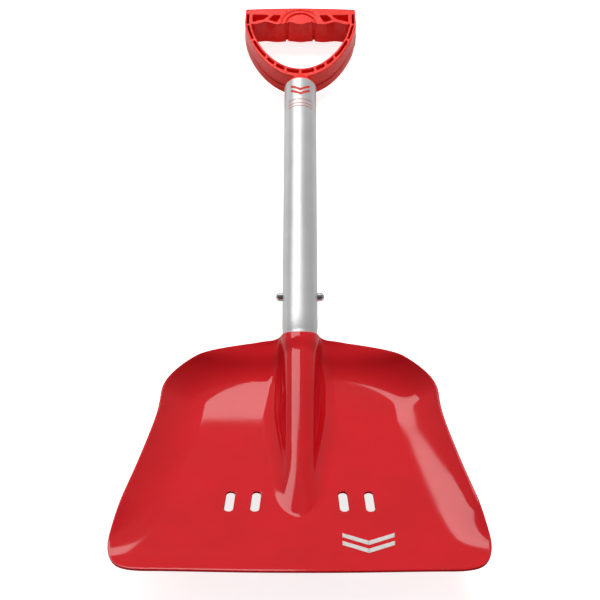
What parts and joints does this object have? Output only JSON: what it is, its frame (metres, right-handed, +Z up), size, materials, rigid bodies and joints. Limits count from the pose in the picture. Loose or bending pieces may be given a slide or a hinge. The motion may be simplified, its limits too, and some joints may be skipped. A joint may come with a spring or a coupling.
{
  "type": "avalanche shovel",
  "caption": "Avalanche shovel with a pressed metal scoop, a telescoping shaft with spring buttons and a moulded D-shaped hand grip.",
  "frame": {"origin": "middle of the bounding box's bottom, with the shovel lying on its back and the shaft pushed in", "axes": "+Y along the shaft towards the hand grip, +Z up out of the scoop, +X across the blade to the right when the grip points away from the viewer"},
  "size_m": [0.2752, 0.6202, 0.0469],
  "materials": {
    "red_coating": "red powder coat over pressed aluminium",
    "back_plate": "red powder coat over pressed aluminium",
    "satin_aluminium": "satin anodised",
    "bare_aluminium": "clear anodised, rubbed by the sliding fit",
    "black_nylon": "moulded nylon",
    "button_steel": "polished",
    "spring_steel": "tempered spring strip",
    "grip_plastic": "moulded, semi-gloss"
  },
  "bodies": {
    "blade": {"blade": "red_coating", "socket_back": "back_plate"},
    "lower_shaft": {"lower_tube": "bare_aluminium", "lower_tube_plug": "black_nylon", "guide_bush": "black_nylon", "lock_spring": "spring_steel", "extension_spring": "spring_steel", "socket_spring": "spring_steel"},
    "upper_shaft": {"upper_tube": "satin_aluminium", "neck_bush": "black_nylon", "grip": "grip_plastic", "grip_pin": "spring_steel"},
    "lock_button_right": {"lock_button_right": "button_steel"},
    "lock_button_left": {"lock_button_left": "button_steel"},
    "extension_button_right": {"extension_button_right": "button_steel"},
    "extension_button_left": {"extension_button_left": "button_steel"},
    "socket_button": {"socket_button": "button_steel"}
  },
  "joints": [
    {"name": "shaft_release", "type": "slide", "parent": "blade", "child": "lower_shaft", "axis": [0, 1, 0], "range_m": [0, 0.1], "deforming": ["socket_button", "socket_spring"]},
    {"name": "telescope", "type": "slide", "parent": "lower_shaft", "child": "upper_shaft", "axis": [0, 1, 0], "range_m": [0, 0.18], "deforming": ["lock_button_right", "lock_button_left", "lock_spring", "extension_button_right", "extension_button_left", "extension_spring"]},
    {"name": "lock_button_right_press", "type": "slide", "parent": "lower_shaft", "child": "lock_button_right", "axis": [-1, 0, 0], "range_m": [0, 0.0071], "stiffness_N_per_m": 1500},
    {"name": "lock_button_left_press", "type": "slide", "parent": "lower_shaft", "child": "lock_button_left", "axis": [1, 0, 0], "range_m": [0, 0.0071], "stiffness_N_per_m": 1500},
    {"name": "extension_button_right_pop", "type": "slide", "parent": "lower_shaft", "child": "extension_button_right", "axis": [1, 0, 0], "range_m": [0, 0.0071]},
    {"name": "extension_button_left_pop", "type": "slide", "parent": "lower_shaft", "child": "extension_button_left", "axis": [-1, 0, 0], "range_m": [0, 0.0071]},
    {"name": "socket_button_press", "type": "slide", "parent": "lower_shaft", "child": "socket_button", "axis": [0, 0, 1], "range_m": [0, 0.0059], "stiffness_N_per_m": 1500}
  ],
  "couplings": [
    {"joint": "extension_button_right_pop", "follows": "telescope", "ratio": 0.0394},
    {"joint": "extension_button_left_pop", "follows": "telescope", "ratio": 0.0394}
  ]
}
